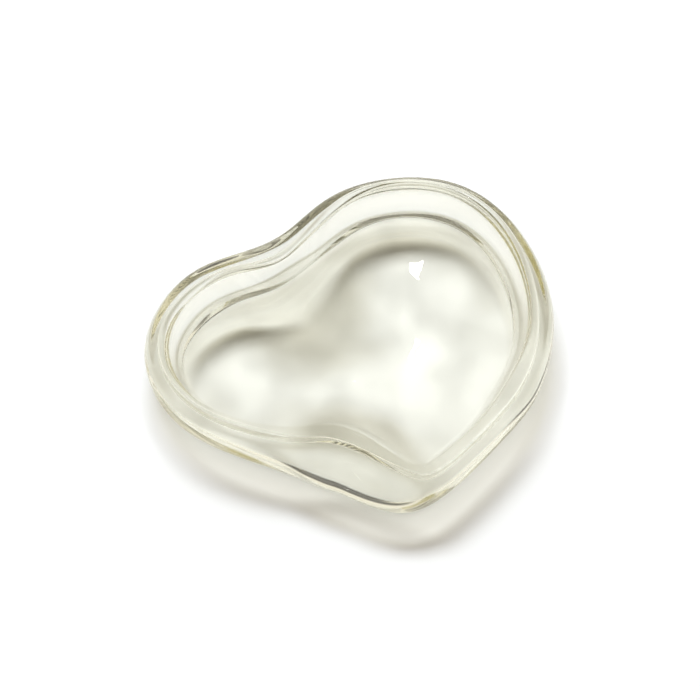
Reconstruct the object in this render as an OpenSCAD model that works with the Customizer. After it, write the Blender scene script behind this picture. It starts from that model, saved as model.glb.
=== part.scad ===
// Open dish cast in clear glass, with the stepped rim of a small heart-shaped box. In plan it is a soft,
// uneven heart: a large lobe, a small lobe, a cleft between them, a waist on the front flank and one
// rounded tip. A thin lip stands round the mouth, a ledge lies outside it and the outer wall bulges
// below the ledge down to a flat base. It is one solid piece.
// +X runs towards the large lobe, +Y towards the back of the lobes and +Z up.
// The origin is the middle of the overall outline, on the flat base.

/* [Mouth] */
// Width of the mouth across both lobes, between the lip's inner edges
mouth_w = 105.2; // [80:0.2:160]
// Depth of the mouth from the back of the large lobe to the tip
mouth_d = 93.4; // [70:0.2:140]

/* [Wall] */
// Glass from the mouth's edge out to the belly, round the lobes and the flanks
wall_side = 8.5; // [8:0.5:12]
// Glass from the mouth's edge out to the belly, at the cleft
wall_cleft = 11.5; // [9:0.5:14]
// Glass from the mouth's edge out to the belly, at the waist of the front flank
wall_waist = 15; // [10:0.5:18]
// Glass from the mouth's edge out to the belly, at the tip
wall_tip = 12; // [9:0.5:16]
// How far the belly stands out past the ledge's edge
belly_out = 3.2; // [1.5:0.1:3.4]

/* [Heights] */
// Height from the flat base to the top of the lip
dish_h = 16.5; // [15:0.5:26]
// Height from the flat base to the belly, which is the widest line of the outer wall
belly_h = 7.5; // [5:0.5:9]
// Glass under the lowest stretch of the floor
floor_t = 3.2; // [2:0.1:5]

/* [Lip] */
// Thickness of the lip round the lobes and at the tip
lip_side = 3; // [2:0.1:4]
// Thickness of the lip along the waist and the opposite flank
lip_front = 4.4; // [2:0.1:5]
// Height of the lip above the ledge
lip_h = 4; // [2:0.1:5]
// Radius of the rounding over the lip's edges
lip_round = 1.2; // [0.5:0.1:1.8]

/* [Ledge] */
// How much the ledge falls from the lip out to its own edge
ledge_fall = 0.4; // [0:0.1:1]

/* [Foot] */
// How far the flat base lies in from the belly
foot_in = 4.5; // [2:0.5:5]

/* [Inner wall] */
// How far the inner wall leans in on its way down from the mouth's edge
wall_lean = 4; // [1:0.2:5]
// Radius of the fillet where the inner wall runs into the floor
fillet_r = 1.6; // [0.8:0.2:3]

/* [Floor] */
// How far the middle of the floor lies below its edge
floor_dip = 1.2; // [0.4:0.1:2.5]
// Height of the ridge that runs in over the floor from the cleft
ridge_h = 5; // [1:0.5:6]
// Half width of that ridge
ridge_w = 14; // [6:1:18]
// Length over which that ridge dies out
ridge_l = 24; // [12:1:34]
// Height by which the floor rises to the flank between waist and tip
flank_h = 5; // [1:0.5:6]
// Half width of that rise, along the flank
flank_w = 16; // [8:1:20]
// Length over which that rise dies out, in from the flank
flank_l = 9; // [5:1:12]

/* [Finish] */
// Points along the outline from one station to the next
outline_steps = 6; // [4:1:8]

/* [Hidden] */

// Stations round the outline, clockwise from the cleft. Each has the point of the mouth's edge on the
// reference heart, the heading in which the wall stands out there, the glass out to the belly in that
// direction, and the lip's share of it.
STATIONS = [
    [[-18.5, 22.5], 109, wall_cleft, lip_side],
    [[1.5, 43], 120, wall_side, lip_side],
    [[30, 45.5], 87, wall_side, lip_side],
    [[48, 26.5], 52, wall_side, lip_side],
    [[52.5, 2], 24, wall_side, lip_side],
    [[47, -15.5], -8, wall_side, lip_front],
    [[37.5, -31], 2, wall_side, lip_front],
    [[26, -42.5], -89, wall_side, lip_front],
    [[17, -45], -123, wall_tip, lip_side],
    [[3.5, -36], -112, wall_waist, lip_front],
    [[-8.5, -33], -85, wall_waist, lip_front],
    [[-18.5, -34], -104, wall_side, lip_side],
    [[-37.5, -29], -172, wall_side, lip_side],
    [[-51, -15.5], -205, wall_side, lip_side],
    [[-50, 2.5], -205, wall_side, lip_side],
    [[-35, 16.5], -213, wall_cleft, lip_side]
];
STATION_COUNT = len(STATIONS);
POINT_COUNT = STATION_COUNT * outline_steps;

// Item i of a closed list, which runs on past either end
function item(list, i) = list[(i + len(list)) % len(list)];

// Control points of the closed cubic spline that runs through the given points
function controls(points, guess, passes = 16) =
    passes == 0 ? guess :
    controls(points, [
        for (i = [0 : len(points) - 1])
            guess[i] + points[i] - (item(guess, i - 1) + 4 * guess[i] + item(guess, i + 1)) / 6
    ], passes - 1);

// Point of a cubic spline, t of the way along the stretch from b to c
function spline_point(a, b, c, d, t) =
    (a * pow(1 - t, 3) + b * (3 * pow(t, 3) - 6 * t * t + 4)
        + c * (1 + 3 * t + 3 * t * t - 3 * pow(t, 3)) + d * pow(t, 3)) / 6;

// Closed smooth curve through the given points
function smooth_loop(points) =
    let (c = controls(points, points))
    [
        for (i = [0 : len(c) - 1], s = [0 : outline_steps - 1])
            spline_point(item(c, i - 1), item(c, i), item(c, i + 1), item(c, i + 2), s / outline_steps)
    ];

function column(list, k) = [for (p = list) p[k]];
function middle(list) = (min(list) + max(list)) / 2;
function span(list) = max(list) - min(list);
function heading(angle) = [cos(angle), sin(angle)];

// The mouth's edge, stretched from the reference heart to the width and depth set above
REFERENCE = smooth_loop(column(STATIONS, 0));
STRETCH = [mouth_w / span(column(REFERENCE, 0)), mouth_d / span(column(REFERENCE, 1))];
MOUTH_STATIONS = [for (s = STATIONS) [s[0].x * STRETCH.x, s[0].y * STRETCH.y]];
OUTWARD = smooth_loop([for (s = STATIONS) heading(s[1])]);
WALL = smooth_loop([for (s = STATIONS) s[2] * heading(s[1])]);
LIP = smooth_loop([for (s = STATIONS) s[3] * heading(s[1])]);
INWARD = smooth_loop([
    for (i = [0 : STATION_COUNT - 1])
        let (along = item(MOUTH_STATIONS, i + 1) - item(MOUTH_STATIONS, i - 1))
        [along.y, -along.x] / norm(along)
]);
MOUTH_LOOP = smooth_loop(MOUTH_STATIONS);
BELLY_LOOP = MOUTH_LOOP + WALL;
CENTRING = [middle(column(BELLY_LOOP, 0)), middle(column(BELLY_LOOP, 1))];
MOUTH = [for (p = MOUTH_LOOP) p - CENTRING];

// Heights of the inside
floor_edge = floor_t + floor_dip;
mouth_h = dish_h - lip_round;
ledge_h = dish_h - lip_h;

// Rise of the floor at p, highest at start, that dies out across and along the way in from there
function rise(p, start, way, height, half_width, length) =
    let (off = p - start, along = max(0, off * way), across = norm(off - (off * way) * way))
    height * exp(-pow(across / half_width, 2)) * exp(-pow(along / length, 2));

// The ridge starts at the cleft and points to the middle of the dish, and the other rise starts at the
// flank station and runs straight in
FLOOR_CENTRE = [3 * STRETCH.x, -2 * STRETCH.y] - CENTRING;
RIDGE_START = MOUTH[0];
RIDGE_WAY = (FLOOR_CENTRE - RIDGE_START) / norm(FLOOR_CENTRE - RIDGE_START);
flank_station = 9;
FLANK_START = MOUTH[flank_station * outline_steps];
FLANK_WAY = INWARD[flank_station * outline_steps];
function relief(p) =
    rise(p, RIDGE_START, RIDGE_WAY, ridge_h, ridge_w, ridge_l)
        + rise(p, FLANK_START, FLANK_WAY, flank_h, flank_w, flank_l);

// Height of the floor at p, where reach runs from 0 at the floor's edge to 1 in the middle
function floor_z(p, reach) = floor_edge - floor_dip * (1 - pow(1 - reach, 2)) + relief(p);

// Rings of points from the base's edge up the outside, over the lip and down to the floor's middle
base_steps = 6;
belly_steps = 6;
ledge_steps = 3;
lip_steps = 2;
round_steps = 4;
inside_steps = 4;
fillet_steps = 4;
floor_steps = 6;

// Ring that lies `wall` of the whole wall, `lip` of the lip and `out` millimetres out from the mouth's edge
function ring(wall, lip, out, z) = [
    for (i = [0 : POINT_COUNT - 1])
        let (p = MOUTH[i] + wall * WALL[i] + lip * LIP[i] + out * OUTWARD[i])
        [p.x, p.y, z]
];

BASE_RINGS = [
    for (k = [0 : base_steps - 1])
        let (a = 90 * k / base_steps)
        ring(1, 0, -foot_in * (1 - sin(a)), belly_h * (1 - cos(a)))
];
ledge_edge_h = ledge_h - ledge_fall;
BELLY_RINGS = [
    for (k = [0 : belly_steps - 1])
        let (a = 90 * k / belly_steps)
        ring(1, 0, -belly_out * (1 - cos(a)), belly_h + (ledge_edge_h - belly_h) * sin(a))
];
LEDGE_RINGS = [
    for (k = [0 : ledge_steps - 1])
        let (f = k / ledge_steps)
        ring(1 - f, f, -belly_out * (1 - f), ledge_edge_h + f * ledge_fall)
];
LIP_RINGS = [
    for (k = [0 : lip_steps - 1])
        let (f = k / lip_steps)
        ring(0, 1, 0, ledge_h + f * (mouth_h - ledge_h))
];
ROUND_RINGS = concat(
    [
        for (k = [0 : round_steps - 1])
            let (a = 90 * k / round_steps)
            ring(0, 1, -lip_round * (1 - cos(a)), mouth_h + lip_round * sin(a))
    ],
    [
        for (k = [0 : round_steps - 1])
            let (a = 90 * k / round_steps)
            ring(0, 0, lip_round * (1 - sin(a)), mouth_h + lip_round * cos(a))
    ]
);
INSIDE_RINGS = [
    for (k = [0 : inside_steps - 1])
        let (f = k / inside_steps)
        [for (i = [0 : POINT_COUNT - 1])
            let (
                p = MOUTH[i] + f * wall_lean * INWARD[i],
                foot = MOUTH[i] + wall_lean * INWARD[i],
                z = mouth_h + f * (floor_z(foot, 0) + fillet_r - mouth_h)
            )
            [p.x, p.y, z]]
];
FILLET_RINGS = [
    for (k = [0 : fillet_steps - 1])
        let (a = 90 * k / fillet_steps, inset = wall_lean + fillet_r * (1 - cos(a)))
        [for (i = [0 : POINT_COUNT - 1])
            let (p = MOUTH[i] + inset * INWARD[i])
            [p.x, p.y, floor_z(p, 0) + fillet_r * (1 - sin(a))]]
];
FLOOR_EDGE = [for (i = [0 : POINT_COUNT - 1]) MOUTH[i] + (wall_lean + fillet_r) * INWARD[i]];
FLOOR_RINGS = [
    for (k = [0 : floor_steps - 1])
        let (reach = k / floor_steps)
        [for (e = FLOOR_EDGE)
            let (p = e + reach * (FLOOR_CENTRE - e)) [p.x, p.y, floor_z(p, reach)]]
];
RINGS = concat(BASE_RINGS, BELLY_RINGS, LEDGE_RINGS, LIP_RINGS, ROUND_RINGS, INSIDE_RINGS, FILLET_RINGS,
    FLOOR_RINGS);
RING_COUNT = len(RINGS);
FLOOR_MIDDLE = [FLOOR_CENTRE.x, FLOOR_CENTRE.y, floor_z(FLOOR_CENTRE, 1)];

module heart_dish() {
    points = concat([for (ring = RINGS, p = ring) p], [FLOOR_MIDDLE]);
    base_face = [for (i = [POINT_COUNT - 1 : -1 : 0]) i];
    ring_faces = [
        for (r = [0 : RING_COUNT - 2], i = [0 : POINT_COUNT - 1])
            let (j = (i + 1) % POINT_COUNT, a = r * POINT_COUNT, b = a + POINT_COUNT)
            each [[a + i, b + j, b + i], [a + i, a + j, b + j]]
    ];
    last = (RING_COUNT - 1) * POINT_COUNT;
    middle_faces = [
        for (i = [0 : POINT_COUNT - 1])
            [last + i, last + (i + 1) % POINT_COUNT, len(points) - 1]
    ];
    color([0.93, 0.95, 0.88, 0.35])
        polyhedron(points, concat([base_face], ring_faces, middle_faces));
}

heart_dish();
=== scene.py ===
"""Heart-shaped dish cast in clear glass, on a plain pale table under a soft studio light."""

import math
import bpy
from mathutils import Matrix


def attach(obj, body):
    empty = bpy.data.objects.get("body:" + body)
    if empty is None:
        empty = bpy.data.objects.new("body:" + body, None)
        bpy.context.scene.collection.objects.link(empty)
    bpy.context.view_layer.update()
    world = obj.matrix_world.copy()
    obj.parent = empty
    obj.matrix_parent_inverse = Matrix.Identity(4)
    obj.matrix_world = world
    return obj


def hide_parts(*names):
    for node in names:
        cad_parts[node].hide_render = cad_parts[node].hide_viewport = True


bl_info = {
    "name": "Heart Glass Dish",
    "version": (1, 0, 0),
    "blender": (4, 5, 0),
    "location": "View3D > Sidebar > Heart Dish",
    "description": "Casts an uneven heart-shaped glass dish and sets its table, lights and camera",
    "category": "Object",
}

from functools import partial

import bpy
import numpy as np
from bpy.props import FloatProperty, FloatVectorProperty, IntProperty, PointerProperty
from mathutils import Vector

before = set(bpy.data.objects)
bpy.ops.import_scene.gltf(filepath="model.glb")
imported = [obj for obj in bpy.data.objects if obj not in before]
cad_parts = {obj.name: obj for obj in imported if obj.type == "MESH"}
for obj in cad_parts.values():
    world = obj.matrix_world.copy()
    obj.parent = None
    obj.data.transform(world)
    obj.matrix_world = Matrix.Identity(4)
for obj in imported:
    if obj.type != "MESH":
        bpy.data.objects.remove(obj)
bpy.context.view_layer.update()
MM = 0.001

# Stations round the mouth's edge, clockwise from the cleft: the point on the reference heart in
# millimetres, the heading in which the wall stands out there, and which wall and lip it has.
STATIONS = (
    (-18.5, 22.5, 109, "cleft", "lobe"),
    (1.5, 43, 120, "side", "lobe"),
    (30, 45.5, 87, "side", "lobe"),
    (48, 26.5, 52, "side", "lobe"),
    (52.5, 2, 24, "side", "lobe"),
    (47, -15.5, -8, "side", "flank"),
    (37.5, -31, 2, "side", "flank"),
    (26, -42.5, -89, "side", "flank"),
    (17, -45, -123, "tip", "lobe"),
    (3.5, -36, -112, "waist", "flank"),
    (-8.5, -33, -85, "waist", "flank"),
    (-18.5, -34, -104, "side", "lobe"),
    (-37.5, -29, -172, "side", "lobe"),
    (-51, -15.5, -205, "side", "lobe"),
    (-50, 2.5, -205, "side", "lobe"),
    (-35, 16.5, -213, "cleft", "lobe"),
)
CLEFT_STATION = 0
FLANK_STATION = 9
# Where the base and the floor run together, on the same reference heart
FLOOR_MIDDLE = (3, -2)
# Rounds in which a curve's control points settle so that it passes through its stations
CURVE_ROUNDS = 16
# The parts of the section, from the middle of the base round to the middle of the floor
SECTION = ("base", "foot", "belly", "ledge", "lip", "outer rounding", "inner rounding", "inner wall",
           "fillet", "floor")
# Rings of the mesh in each part
PART_RINGS = 8
# Points nearer to each other than this become one
MERGE_DISTANCE = 0.002 * MM

# Glass: the tint of its skin, its refractive index and how fast deep glass takes its colour, per metre
GLASS_SKIN = "FEFDF7"
GLASS_IOR = 1.52
GLASS_ABSORPTION = 8.0
# The waves that the mould leaves in the skin
WAVE_LENGTH = 14.286 * MM
WAVE_DEPTH = 0.05 * MM
WAVE_DETAIL = 1.0
WAVE_ROUGHNESS = 0.4

# How much of a lamp's light each stretch of the glass lets on, where 1 is all of it. A pair of shares
# belongs to the two ends of the range above it. Slope is 0 on a level face and 1 on an upright one.
FLOOR_SLOPES = (0.0, 0.24)
FLOOR_SHARES = (1.02, 0.55)
WALL_SLOPES = (0.45, 0.8)
# The waves gather light where they are high and spread it where they are low
WAVE_HEIGHTS = (0.35, 0.65)
WAVE_SHARES = (1.0, 1.2)
# Light that leaves the glass low on a wall, by how far the face looks down or up
LOW_TILTS = (-0.3, 0.2)
LOW_SHARES = (0.75, 0.95)
# Light that leaves it higher up: the first range ends where only the lip is left, which turns light
# aside, and over the second the lip rounds over into its top
LIP_HEIGHTS = (6.0 * MM, 9.0 * MM)
LIP_SHARE = 0.06
TOP_HEIGHTS = (14.0 * MM, 19.0 * MM)
TOP_SHARE = 0.85
# Light that enters the wall
ENTRY_SHARE = 0.97
# Tint of the light that is let on: dim light has come through more glass than bright light
TINT_SHARES = (0.4, 1.0)
DIM_TINT = "FFFAE9"
BRIGHT_TINT = "FFFEFB"

# The table, in metres. It lies a hair under the base, so that the two faces don't share a plane.
TABLE_REACH = 3.0
TABLE_DROP = 0.05 * MM
TABLE_ROUGHNESS = 0.9

# The room: a pale sweep rises behind and beside the dish and ends where a look up reaches these heights.
# It fades on the way round to the camera, and a soft patch of it hangs overhead. The rest is dark.
ROOM_DARK = (0.12, 0.115, 0.1, 1)
ROOM_PALE = (0.95, 0.915, 0.8, 1)
SWEEP_TOP = (0.45, 0.7)
SWEEP_SIDE = (-0.5, 0.0)
SWEEP_AT_CAMERA = 0.15
CEILING_RANGE = (0.8, 1.0)
CEILING_SHARE = 0.2

# Lamps: azimuth and elevation in degrees, distance, width and height in metres, and colour
LAMPS = {
    "key": (100, 44, 3.0, 1.6, 0.56, (0.89, 0.94, 1.0)),
    "overhead": (90, 85, 1.5, 2.0, 2.0, (1.0, 0.9, 0.79)),
    "window": (86, 60, 1.5, 0.016, 0.008, (1.0, 1.0, 1.0)),
}
# The lamp whose mirror image is the glint. The others only light the table.
GLINT_LAMP = "window"

CAMERA_PLACE = (0.0, -0.3, 0.5196)
CAMERA_TILT = 30
CAMERA_SENSOR = 36.0
CAMERA_LENS = 104.14
# Turns that light may take inside the glass before it is given up
LIGHT_BOUNCES = 48

MATH = "ShaderNodeMath"
VECTOR = "ShaderNodeVectorMath"
MAP_RANGE = "ShaderNodeMapRange"


def linear(code):
    """Linear red, green and blue of an sRGB hex colour."""
    parts = [int(code[i:i + 2], 16) / 255 for i in (0, 2, 4)]
    return [c / 12.92 if c <= 0.04045 else ((c + 0.055) / 1.055) ** 2.4 for c in parts]


def length(name, text, default, low, high):
    """A size in metres, given here in millimetres."""
    return FloatProperty(name=name, description=text, default=default * MM, min=low * MM,
                         max=high * MM, unit="LENGTH", subtype="DISTANCE", precision=4)


class HEARTDISH_PG_outline(bpy.types.PropertyGroup):
    """Sizes of the heart in plan."""
    mouth_width: length("Mouth width", "Width of the mouth across both lobes", 105.2, 80, 160)
    mouth_depth: length("Mouth depth", "Depth of the mouth from the large lobe to the tip",
                        93.4, 70, 140)
    wall_side: length("Wall, sides", "Glass from the mouth's edge out to the belly", 8.5, 8, 12)
    wall_cleft: length("Wall, cleft", "Glass out to the belly at the cleft", 11.5, 9, 14)
    wall_waist: length("Wall, waist", "Glass out to the belly at the waist of the front flank",
                       15, 10, 18)
    wall_tip: length("Wall, tip", "Glass out to the belly at the tip", 12, 9, 16)
    lip_lobe: length("Lip, lobes", "Thickness of the lip round the lobes and at the tip", 3, 2, 4)
    lip_flank: length("Lip, flanks", "Thickness of the lip along both flanks", 4.4, 2, 5)
    steps: IntProperty(name="Steps", default=24, min=6, max=32,
                       description="Points from one station of the outline to the next")


class HEARTDISH_PG_section(bpy.types.PropertyGroup):
    """Sizes of the dish's section."""
    height: length("Height", "Height from the flat base to the top of the lip", 16.5, 15, 26)
    belly_height: length("Belly height", "Height of the widest line of the outer wall", 7.5, 5, 9)
    belly_out: length("Belly", "How far the belly stands out past the ledge's edge", 3.2, 1.5, 3.4)
    ledge_fall: length("Ledge fall", "How much the ledge falls from the lip to its own edge",
                       0.4, 0, 1)
    lip_height: length("Lip height", "Height of the lip above the ledge", 4, 2, 5)
    lip_round: length("Lip rounding", "Radius over the lip's edges", 1.2, 0.5, 1.8)
    foot_inset: length("Foot inset", "How far the flat base lies in from the belly", 4.5, 2, 5)
    wall_lean: length("Inner lean", "How far the inner wall leans in on its way down", 4, 1, 5)
    fillet: length("Floor fillet", "Radius where the inner wall runs into the floor", 1.6, 0.8, 3)
    floor_thickness: length("Floor", "Glass under the lowest stretch of the floor", 3.2, 2, 5)
    floor_dip: length("Floor dip", "How far the middle of the floor lies below its edge",
                      1.2, 0.4, 2.5)
    ridge_height: length("Ridge", "Height of the ridge that runs in from the cleft", 5, 1, 6)
    ridge_half_width: length("Ridge half width", "Half width of that ridge", 14, 6, 18)
    ridge_length: length("Ridge length", "Length over which that ridge dies out", 24, 12, 34)
    flank_height: length("Flank rise", "Height by which the floor rises to the front flank", 5, 1, 6)
    flank_half_width: length("Flank rise half width", "Half width of that rise, along the flank",
                             16, 8, 20)
    flank_length: length("Flank rise length", "Length over which that rise dies out", 9, 5, 12)


class HEARTDISH_PG_finish(bpy.types.PropertyGroup):
    """Colours and strengths of the glass, the table and the lights."""
    glass_tint: FloatVectorProperty(name="Glass tint", description="Colour that deep glass takes",
                                    subtype="COLOR", size=3, min=0, max=1,
                                    default=linear("EEEACB"))
    table: FloatVectorProperty(name="Table", description="Colour of the table", subtype="COLOR",
                               size=3, min=0, max=1, default=linear("F4F4F4"))
    key_power: FloatProperty(name="Key light", description="Power of the key light", default=105,
                             min=0, unit="POWER")
    overhead_power: FloatProperty(name="Overhead light", description="Power of the light overhead",
                                  default=6, min=0, unit="POWER")
    window_power: FloatProperty(name="Window light", description="Power of the lamp that glints",
                                default=0.013, min=0, precision=4, unit="POWER")


def smooth_loop(points, steps):
    """Closed smooth curve through the points, with that many steps from each to the next."""
    points = np.asarray(points, float)
    guess = points.copy()
    for _ in range(CURVE_ROUNDS):
        guess = guess + points - (np.roll(guess, 1, 0) + 4 * guess + np.roll(guess, -1, 0)) / 6
    a, b, c, d = (np.roll(guess, k, 0)[:, None, :] for k in (1, 0, -1, -2))
    t = (np.arange(steps) / steps)[None, :, None]
    curve = (a * (1 - t) ** 3 + b * (3 * t ** 3 - 6 * t * t + 4)
             + c * (1 + 3 * t + 3 * t * t - 3 * t ** 3) + d * t ** 3) / 6
    return curve.reshape(-1, 2)


def heart_outline(sizes):
    """The mouth's edge with what leads out from it to the belly and the lip, and the floor's middle."""
    steps = sizes.steps
    walls = {"side": sizes.wall_side, "cleft": sizes.wall_cleft, "waist": sizes.wall_waist,
             "tip": sizes.wall_tip}
    lips = {"lobe": sizes.lip_lobe, "flank": sizes.lip_flank}
    places = np.array([s[:2] for s in STATIONS], float)
    turns = np.radians([s[2] for s in STATIONS])
    heading = np.stack((np.cos(turns), np.sin(turns)), 1)
    reference = smooth_loop(places, steps)
    stretch = np.array((sizes.mouth_width, sizes.mouth_depth)) / np.ptp(reference, axis=0)
    places = places * stretch
    along = np.roll(places, -1, 0) - np.roll(places, 1, 0)
    inward = np.stack((along[:, 1], -along[:, 0]), 1) / np.linalg.norm(along, axis=1)[:, None]
    mouth = smooth_loop(places, steps)
    outline = {
        "outward": smooth_loop(heading, steps),
        "inward": smooth_loop(inward, steps),
        "wall": smooth_loop(heading * np.array([[walls[s[3]]] for s in STATIONS]), steps),
        "lip": smooth_loop(heading * np.array([[lips[s[4]]] for s in STATIONS]), steps),
    }
    belly = mouth + outline["wall"]
    centring = (belly.min(0) + belly.max(0)) / 2
    outline["mouth"] = mouth - centring
    middle = np.array(FLOOR_MIDDLE) * stretch - centring
    return outline, middle


def give(tree, node, values):
    """Give a node's inputs their values, in order or by name or number.

    A value is a constant, a socket to link, or a node, which stands for its first output in use.
    """
    for key, value in values.items() if isinstance(values, dict) else enumerate(values):
        if isinstance(value, bpy.types.Node):
            value = next(output for output in value.outputs if output.enabled)
        if isinstance(value, bpy.types.NodeSocket):
            tree.links.new(value, node.inputs[key])
        else:
            node.inputs[key].default_value = value


def add_node(tree, kind, values=(), **settings):
    """A new node with its settings and the values of its inputs."""
    node = tree.nodes.new(kind)
    for key, value in settings.items():
        setattr(node, key, value)
    give(tree, node, values)
    return node


def dish_tree(outline_points):
    """Geometry nodes that skin the dish over its outline, ring by ring from the base to the floor."""
    tree = bpy.data.node_groups.new("Glass dish over a heart outline", "GeometryNodeTree")
    new = partial(add_node, tree)
    face = tree.interface
    face.new_socket("Outline", in_out="INPUT", socket_type="NodeSocketGeometry")
    names = {key: key.replace("_", " ").capitalize() for key in HEARTDISH_PG_section.__annotations__}
    sockets = {key: face.new_socket(name, in_out="INPUT", socket_type="NodeSocketFloat")
               for key, name in names.items()}
    sockets["middle"] = face.new_socket("Middle", in_out="INPUT", socket_type="NodeSocketVector")
    sockets["glass"] = face.new_socket("Glass", in_out="INPUT", socket_type="NodeSocketMaterial")
    face.new_socket("Dish", in_out="OUTPUT", socket_type="NodeSocketGeometry")
    given = new("NodeGroupInput")
    size = {key: given.outputs[name] for key, name in names.items()}
    middle = given.outputs["Middle"]

    # The sheet that becomes the skin: one row per ring, one column per point of the outline
    parts = len(SECTION)
    rings = parts * PART_RINGS + 1
    sheet = new("GeometryNodeMeshGrid", {
        "Size X": rings - 1, "Size Y": outline_points,
        "Vertices X": rings, "Vertices Y": outline_points + 1})
    place = new("ShaderNodeSeparateXYZ", (new("GeometryNodeInputPosition"),))
    from_end = new(MATH, (place.outputs["X"], (rings - 1) / 2), operation="ADD")
    ring = new(MATH, (from_end,), operation="ROUND")
    from_side = new(MATH, (place.outputs["Y"], outline_points / 2), operation="ADD")
    around = new(MATH, (from_side,), operation="ROUND")
    column = new(MATH, (around, outline_points), operation="MODULO")

    # Which part of the section a ring is in, and how far along it the ring lies: its share, the sine
    # and the cosine of that share of a quarter turn, and what each of them lacks to 1
    run = new(MATH, (ring, PART_RINGS), operation="DIVIDE")
    begun = new(MATH, (run,), operation="FLOOR")
    part = new(MATH, (begun, parts - 1), operation="MINIMUM")
    share = new(MATH, (run, part), operation="SUBTRACT")
    turn = new(MATH, (share, math.pi / 2), operation="MULTIPLY")
    sine = new(MATH, (turn,), operation="SINE")
    cosine = new(MATH, (turn,), operation="COSINE")
    rest = new(MATH, (1.0, share), operation="SUBTRACT")
    rest_sine = new(MATH, (1.0, sine), operation="SUBTRACT")
    rest_cosine = new(MATH, (1.0, cosine), operation="SUBTRACT")

    def of_outline(name, point):
        """What the outline holds under that name at one of its points."""
        held = new("GeometryNodeInputNamedAttribute", {"Name": name}, data_type="FLOAT_VECTOR")
        return new("GeometryNodeSampleIndex", {
            "Geometry": given.outputs["Outline"], "Value": held, "Index": point},
            data_type="FLOAT_VECTOR")

    def of_part(values):
        """The value of the part that the ring is in, which is 0 where none is named for it."""
        choice = new("GeometryNodeIndexSwitch", data_type="FLOAT")
        while len(choice.index_switch_items) < parts:
            choice.index_switch_items.new()
        give(tree, choice, (part, *(values.get(name, 0.0) for name in SECTION)))
        return choice

    # Rises of the floor, each with its start and its way in: the ridge that runs from the cleft to the
    # middle, and the rise inside the front flank. Each dies out from its start, along its way and across
    point_gap = outline_points // len(STATIONS)
    cleft = of_outline("position", CLEFT_STATION * point_gap)
    to_middle = new(VECTOR, (middle, cleft), operation="SUBTRACT")
    rises = {
        "ridge": (cleft, new(VECTOR, (to_middle,), operation="NORMALIZE")),
        "flank": (of_outline("position", FLANK_STATION * point_gap),
                  of_outline("inward", FLANK_STATION * point_gap)),
    }

    def floor_rise(point):
        """How much all the rises lift the floor at a point."""
        lift = 0.0
        for name, (start, way) in rises.items():
            off = new(VECTOR, (point, start), operation="SUBTRACT")
            along = new(VECTOR, (off, way), operation="DOT_PRODUCT")
            on_way = new(VECTOR, {0: way, "Scale": along}, operation="SCALE")
            off_way = new(VECTOR, (off, on_way), operation="SUBTRACT")
            across = new(VECTOR, (off_way,), operation="LENGTH")
            ahead = new(MATH, (along, 0.0), operation="MAXIMUM")
            widths = new(MATH, (across, size[name + "_half_width"]), operation="DIVIDE")
            lengths = new(MATH, (ahead, size[name + "_length"]), operation="DIVIDE")
            wide = new(MATH, (widths, 2.0), operation="POWER")
            far = new(MATH, (lengths, 2.0), operation="POWER")
            both = new(MATH, (wide, far), operation="ADD")
            fall = new(MATH, (both, -1.0), operation="MULTIPLY")
            left = new(MATH, (fall,), operation="EXPONENT")
            lift = new(MATH, (size[name + "_height"], left, lift), operation="MULTIPLY_ADD")
        return lift

    # What a ring of each part takes of the wall, of the lip, of one metre outward and of one metre inward
    # on its way from the mouth's edge
    radius = size["lip_round"]
    foot = new(MATH, (size["foot_inset"], -1.0), operation="MULTIPLY")
    foot_bend = new(MATH, (foot, rest_sine), operation="MULTIPLY")
    belly = new(MATH, (size["belly_out"], -1.0), operation="MULTIPLY")
    belly_bend = new(MATH, (belly, rest_cosine), operation="MULTIPLY")
    ledge_back = new(MATH, (belly, rest), operation="MULTIPLY")
    lip_edge = new(MATH, (radius, -1.0), operation="MULTIPLY")
    lip_bend = new(MATH, (lip_edge, rest_cosine), operation="MULTIPLY")
    mouth_bend = new(MATH, (radius, rest_sine), operation="MULTIPLY")
    lean = new(MATH, (size["wall_lean"], share), operation="MULTIPLY")
    fillet_bend = new(MATH, (size["fillet"], rest_cosine), operation="MULTIPLY")
    fillet_in = new(MATH, (size["wall_lean"], fillet_bend), operation="ADD")
    floor_in = new(MATH, (size["wall_lean"], size["fillet"]), operation="ADD")
    takes = {
        "wall": {"base": 1.0, "foot": 1.0, "belly": 1.0, "ledge": rest},
        "lip": {"ledge": share, "lip": 1.0, "outer rounding": 1.0},
        "outward": {"base": foot, "foot": foot_bend, "belly": belly_bend, "ledge": ledge_back,
                    "outer rounding": lip_bend, "inner rounding": mouth_bend},
        "inward": {"inner wall": lean, "fillet": fillet_in, "floor": floor_in},
    }
    mouth = of_outline("position", column)
    point = mouth
    for name, shares in takes.items():
        step = new(VECTOR, {0: of_outline(name, column), "Scale": of_part(shares)}, operation="SCALE")
        point = new(VECTOR, (point, step), operation="ADD")
    # The base and the floor run in to the middle
    pull = of_part({"base": rest, "floor": share})
    point = new("ShaderNodeMix", {0: pull, 4: point, 5: middle}, data_type="VECTOR")

    # Heights that the parts share
    mouth_height = new(MATH, (size["height"], radius), operation="SUBTRACT")
    ledge = new(MATH, (size["height"], size["lip_height"]), operation="SUBTRACT")
    ledge_edge = new(MATH, (ledge, size["ledge_fall"]), operation="SUBTRACT")
    floor_edge = new(MATH, (size["floor_thickness"], size["floor_dip"]), operation="ADD")

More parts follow.
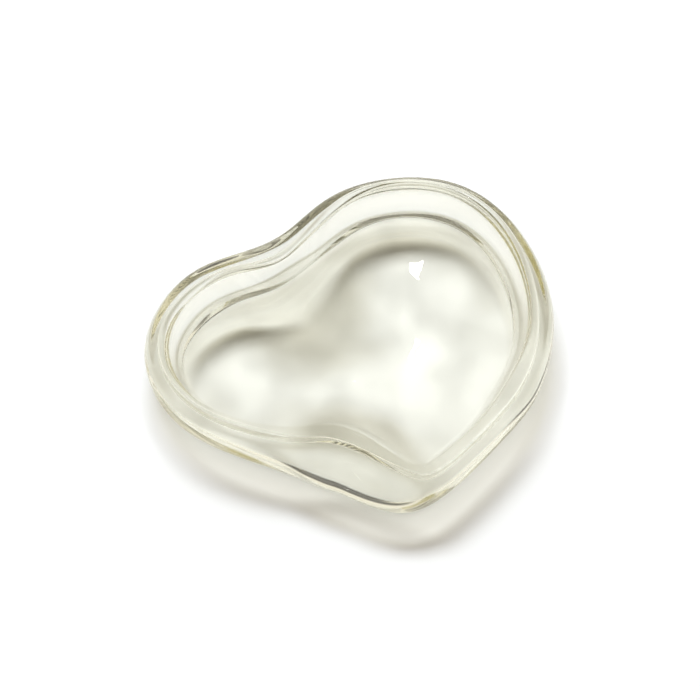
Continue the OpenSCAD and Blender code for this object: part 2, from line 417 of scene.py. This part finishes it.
    # Heights of the outer parts
    foot_height = new(MATH, (size["belly_height"], rest_cosine), operation="MULTIPLY")
    belly_rise = new(MATH, (ledge_edge, size["belly_height"]), operation="SUBTRACT")
    belly_height = new(MATH, (belly_rise, sine, size["belly_height"]), operation="MULTIPLY_ADD")
    ledge_height = new(MATH, (size["ledge_fall"], share, ledge_edge), operation="MULTIPLY_ADD")
    lip_rise = new(MATH, (mouth_height, ledge), operation="SUBTRACT")
    lip_height = new(MATH, (lip_rise, share, ledge), operation="MULTIPLY_ADD")
    outer_height = new(MATH, (radius, sine, mouth_height), operation="MULTIPLY_ADD")
    inner_height = new(MATH, (radius, cosine, mouth_height), operation="MULTIPLY_ADD")

    # Heights of the inner parts, which end on the floor and its rises
    lean_in = new(VECTOR, {0: of_outline("inward", column), "Scale": size["wall_lean"]},
                  operation="SCALE")
    wall_end = new(VECTOR, (mouth, lean_in), operation="ADD")
    end_floor = new(MATH, (floor_edge, floor_rise(wall_end)), operation="ADD")
    fillet_top = new(MATH, (end_floor, size["fillet"]), operation="ADD")
    wall_drop = new(MATH, (fillet_top, mouth_height), operation="SUBTRACT")
    wall_height = new(MATH, (wall_drop, share, mouth_height), operation="MULTIPLY_ADD")
    here = new(MATH, (floor_edge, floor_rise(point)), operation="ADD")
    fillet_height = new(MATH, (size["fillet"], rest_sine, here), operation="MULTIPLY_ADD")
    bowl = new(MATH, (rest, 2.0), operation="POWER")
    bowl_depth = new(MATH, (1.0, bowl), operation="SUBTRACT")
    dip = new(MATH, (size["floor_dip"], bowl_depth), operation="MULTIPLY")
    floor_height = new(MATH, (here, dip), operation="SUBTRACT")
    height = of_part({
        "foot": foot_height, "belly": belly_height, "ledge": ledge_height, "lip": lip_height,
        "outer rounding": outer_height, "inner rounding": inner_height, "inner wall": wall_height,
        "fillet": fillet_height, "floor": floor_height})

    flat = new("ShaderNodeSeparateXYZ", (point,))
    placed = new("ShaderNodeCombineXYZ", (flat.outputs["X"], flat.outputs["Y"], height))
    skin = new("GeometryNodeSetPosition", {"Geometry": sheet, "Position": placed})
    closed = new("GeometryNodeMergeByDistance", {"Geometry": skin, "Distance": MERGE_DISTANCE})
    smooth = new("GeometryNodeSetShadeSmooth", {"Geometry": closed, "Shade Smooth": True})
    real = new("GeometryNodeRealizeInstances", (smooth,))
    cast = new("GeometryNodeSetMaterial", {"Geometry": real, "Material": given.outputs["Glass"]})
    new("NodeGroupOutput", (cast,))
    return tree, sockets


def clear_glass(finish):
    """Clear soda-lime glass, pressed in a mould and fire polished."""
    # Fire polish gives a mirror gloss. The mould leaves long, shallow waves in the skin, which bend
    # what is seen through it, and the iron in the glass gives deep glass a faint straw tint
    glass = bpy.data.materials.new("Clear soda-lime glass, pressed")
    glass.use_nodes = True
    glass.node_tree.nodes.clear()
    new = partial(add_node, glass.node_tree)
    place = new("ShaderNodeTexCoord").outputs["Object"]
    waves = new("ShaderNodeTexNoise", {
        "Vector": place, "Scale": 1 / WAVE_LENGTH, "Detail": WAVE_DETAIL,
        "Roughness": WAVE_ROUGHNESS})
    bend = new("ShaderNodeBump", {"Height": waves, "Strength": 1.0, "Distance": WAVE_DEPTH})
    body = new("ShaderNodeBsdfPrincipled", {
        "Base Color": (*linear(GLASS_SKIN), 1), "Roughness": 0.0, "IOR": GLASS_IOR,
        "Transmission Weight": 1.0, "Normal": bend})

    # On a shadow ray from the table to a lamp, each face lets a share of the light on: most where it is
    # level, less where it slopes, and least on the lip, which turns the light aside
    face = new("ShaderNodeNewGeometry")
    normal = face.outputs["Normal"]
    aside = new(VECTOR, (normal, (1.0, 1.0, 0.0)), operation="MULTIPLY")
    slope = new(VECTOR, (aside,), operation="LENGTH")
    height = new("ShaderNodeSeparateXYZ", (place,)).outputs["Z"]
    tilt = new("ShaderNodeSeparateXYZ", (normal,)).outputs["Z"]
    low = new(MAP_RANGE, (tilt, *LOW_TILTS, *LOW_SHARES))
    lip = new(MAP_RANGE, (height, *LIP_HEIGHTS, low, LIP_SHARE))
    leaving = new(MAP_RANGE, (height, *TOP_HEIGHTS, lip, TOP_SHARE))
    # The back of a face, seen from the table, is where the lamp's light enters the glass
    wall = new(MAP_RANGE, (face.outputs["Backfacing"], 0.0, 1.0, leaving, ENTRY_SHARE))
    sloping = new(MAP_RANGE, (slope, *FLOOR_SLOPES, *FLOOR_SHARES))
    gathered = new(MAP_RANGE, (waves, *WAVE_HEIGHTS, *WAVE_SHARES))
    floor = new(MATH, (sloping, gathered), operation="MULTIPLY")
    passed = new(MAP_RANGE, (slope, *WALL_SLOPES, floor, wall))
    brightness = new(MAP_RANGE, (passed, *TINT_SHARES, 0.0, 1.0))
    tint = new("ShaderNodeMix", {
        0: brightness, 6: (*linear(DIM_TINT), 1), 7: (*linear(BRIGHT_TINT), 1)}, data_type="RGBA")
    shade = new(VECTOR, {0: tint, "Scale": passed}, operation="SCALE")
    let_on = new("ShaderNodeBsdfTransparent", {"Color": shade})
    to_lamp = new("ShaderNodeLightPath").outputs["Is Shadow Ray"]
    surface = new("ShaderNodeMixShader", (to_lamp, body, let_on))
    depth = new("ShaderNodeVolumeAbsorption", {
        "Color": (*finish.glass_tint, 1), "Density": GLASS_ABSORPTION})
    new("ShaderNodeOutputMaterial", {"Surface": surface, "Volume": depth})
    return glass


class HEARTDISH_OT_cast(bpy.types.Operator):
    """Cast the glass dish over its heart outline"""
    bl_idname = "heart_dish.cast"
    bl_label = "Cast the Dish"

    def execute(self, context):
        scene = context.scene
        outline, middle = heart_outline(scene.heart_dish_outline)
        count = len(outline["mouth"])
        line = bpy.data.meshes.new("heart outline")
        line.from_pydata([(x, y, 0) for x, y in outline["mouth"]],
                         [(i, (i + 1) % count) for i in range(count)], [])
        for name in ("wall", "lip", "outward", "inward"):
            stored = line.attributes.new(name, "FLOAT_VECTOR", "POINT")
            stored.data.foreach_set("vector", np.pad(outline[name], ((0, 0), (0, 1))).ravel())
        mould = bpy.data.objects.new("heart outline", line)
        scene.collection.objects.link(mould)
        tree, sockets = dish_tree(count)
        skin = mould.modifiers.new("Glass dish", "NODES")
        skin.node_group = tree
        sizes = scene.heart_dish_section
        for key, socket in sockets.items():
            if key == "middle":
                skin[socket.identifier] = (middle[0], middle[1], 0.0)
            elif key == "glass":
                skin[socket.identifier] = clear_glass(scene.heart_dish_finish)
            else:
                skin[socket.identifier] = getattr(sizes, key)
        graph = context.evaluated_depsgraph_get()
        mesh = bpy.data.meshes.new_from_object(mould.evaluated_get(graph), depsgraph=graph)
        bpy.data.objects.remove(mould)
        bpy.data.meshes.remove(line)
        mesh.name = "heart glass dish"
        if not mesh.polygons:
            raise RuntimeError("the dish came out empty")
        dish = bpy.data.objects.new("heart_glass_dish", mesh)
        scene.collection.objects.link(dish)
        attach(dish, "root")
        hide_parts("heart_dish")
        return {"FINISHED"}


class HEARTDISH_OT_stage(bpy.types.Operator):
    """Lay the table and set the lights and the camera"""
    bl_idname = "heart_dish.stage"
    bl_label = "Set the Stage"

    def execute(self, context):
        scene = context.scene
        finish = scene.heart_dish_finish
        corners = ((-1, -1), (1, -1), (1, 1), (-1, 1))
        plain = bpy.data.meshes.new("table")
        plain.from_pydata([(x * TABLE_REACH, y * TABLE_REACH, -TABLE_DROP) for x, y in corners],
                          [], [(0, 1, 2, 3)])
        table = bpy.data.objects.new("table", plain)
        scene.collection.objects.link(table)
        paint = bpy.data.materials.new("Matt white board")
        paint.use_nodes = True
        board = paint.node_tree.nodes["Principled BSDF"]
        board.inputs["Base Color"].default_value = (*finish.table, 1)
        board.inputs["Roughness"].default_value = TABLE_ROUGHNESS
        board.inputs["Specular IOR Level"].default_value = 0.0
        plain.materials.append(paint)

        world = bpy.data.worlds.new("Studio")
        world.use_nodes = True
        scene.world = world
        sky = world.node_tree
        room = partial(add_node, sky)
        toward = room("ShaderNodeSeparateXYZ", (room("ShaderNodeTexCoord").outputs["Generated"],))
        top = room(MAP_RANGE, (toward.outputs["Z"], *SWEEP_TOP, 1.0, 0.0),
                   interpolation_type="SMOOTHSTEP")
        side = room(MAP_RANGE, (toward.outputs["Y"], *SWEEP_SIDE, SWEEP_AT_CAMERA, 1.0),
                    interpolation_type="SMOOTHSTEP")
        sweep = room(MATH, (top, side), operation="MULTIPLY")
        ceiling = room(MAP_RANGE, (toward.outputs["Z"], *CEILING_RANGE, 0.0, CEILING_SHARE),
                       interpolation_type="SMOOTHSTEP")
        lit = room(MATH, (sweep, ceiling), operation="ADD")
        tone = room("ShaderNodeMix", {0: lit, 6: ROOM_DARK, 7: ROOM_PALE}, data_type="RGBA")
        give(sky, sky.nodes["Background"], {"Color": tone, "Strength": 1.0})

        for name, (azimuth, elevation, distance, width, height, colour) in LAMPS.items():
            lamp = bpy.data.lights.new(name, "AREA")
            lamp.shape = "RECTANGLE"
            lamp.size, lamp.size_y, lamp.color = width, height, colour
            lamp.energy = getattr(finish, name + "_power")
            light = bpy.data.objects.new(name, lamp)
            scene.collection.objects.link(light)
            azimuth, elevation = math.radians(azimuth), math.radians(elevation)
            way = Vector((math.cos(azimuth) * math.cos(elevation),
                          math.sin(azimuth) * math.cos(elevation), math.sin(elevation)))
            light.location = distance * way
            light.rotation_euler = (-way).to_track_quat("-Z", "Y").to_euler()
            glints = name == GLINT_LAMP
            light.visible_glossy = light.visible_transmission = glints
            light.visible_diffuse = not glints

        lens = bpy.data.cameras.new("camera")
        camera = bpy.data.objects.new("camera", lens)
        scene.collection.objects.link(camera)
        camera.location = CAMERA_PLACE
        camera.rotation_euler = (math.radians(CAMERA_TILT), 0.0, 0.0)
        lens.sensor_width = CAMERA_SENSOR
        lens.lens = CAMERA_LENS
        scene.camera = camera
        scene.view_settings.view_transform = "Standard"
        scene.cycles.max_bounces = LIGHT_BOUNCES
        scene.cycles.glossy_bounces = LIGHT_BOUNCES
        scene.cycles.transmission_bounces = LIGHT_BOUNCES
        return {"FINISHED"}


class HEARTDISH_PT_panel(bpy.types.Panel):
    """Sizes, colours and steps of the dish"""
    bl_idname = "HEARTDISH_PT_panel"
    bl_label = "Heart Dish"
    bl_space_type = "VIEW_3D"
    bl_region_type = "UI"
    bl_category = "Heart Dish"

    def draw(self, context):
        for group in (context.scene.heart_dish_outline, context.scene.heart_dish_section,
                      context.scene.heart_dish_finish):
            box = self.layout.box()
            for key in group.__annotations__:
                box.prop(group, key)
        self.layout.operator(HEARTDISH_OT_cast.bl_idname)
        self.layout.operator(HEARTDISH_OT_stage.bl_idname)


CLASSES = (HEARTDISH_PG_outline, HEARTDISH_PG_section, HEARTDISH_PG_finish, HEARTDISH_OT_cast,
           HEARTDISH_OT_stage, HEARTDISH_PT_panel)


def register():
    for cls in CLASSES:
        bpy.utils.register_class(cls)
    bpy.types.Scene.heart_dish_outline = PointerProperty(type=HEARTDISH_PG_outline)
    bpy.types.Scene.heart_dish_section = PointerProperty(type=HEARTDISH_PG_section)
    bpy.types.Scene.heart_dish_finish = PointerProperty(type=HEARTDISH_PG_finish)


def unregister():
    del bpy.types.Scene.heart_dish_finish
    del bpy.types.Scene.heart_dish_section
    del bpy.types.Scene.heart_dish_outline
    for cls in reversed(CLASSES):
        bpy.utils.unregister_class(cls)


def main():
    register()
    bpy.ops.heart_dish.cast()
    bpy.ops.heart_dish.stage()


if __name__ == "__main__":
    main()
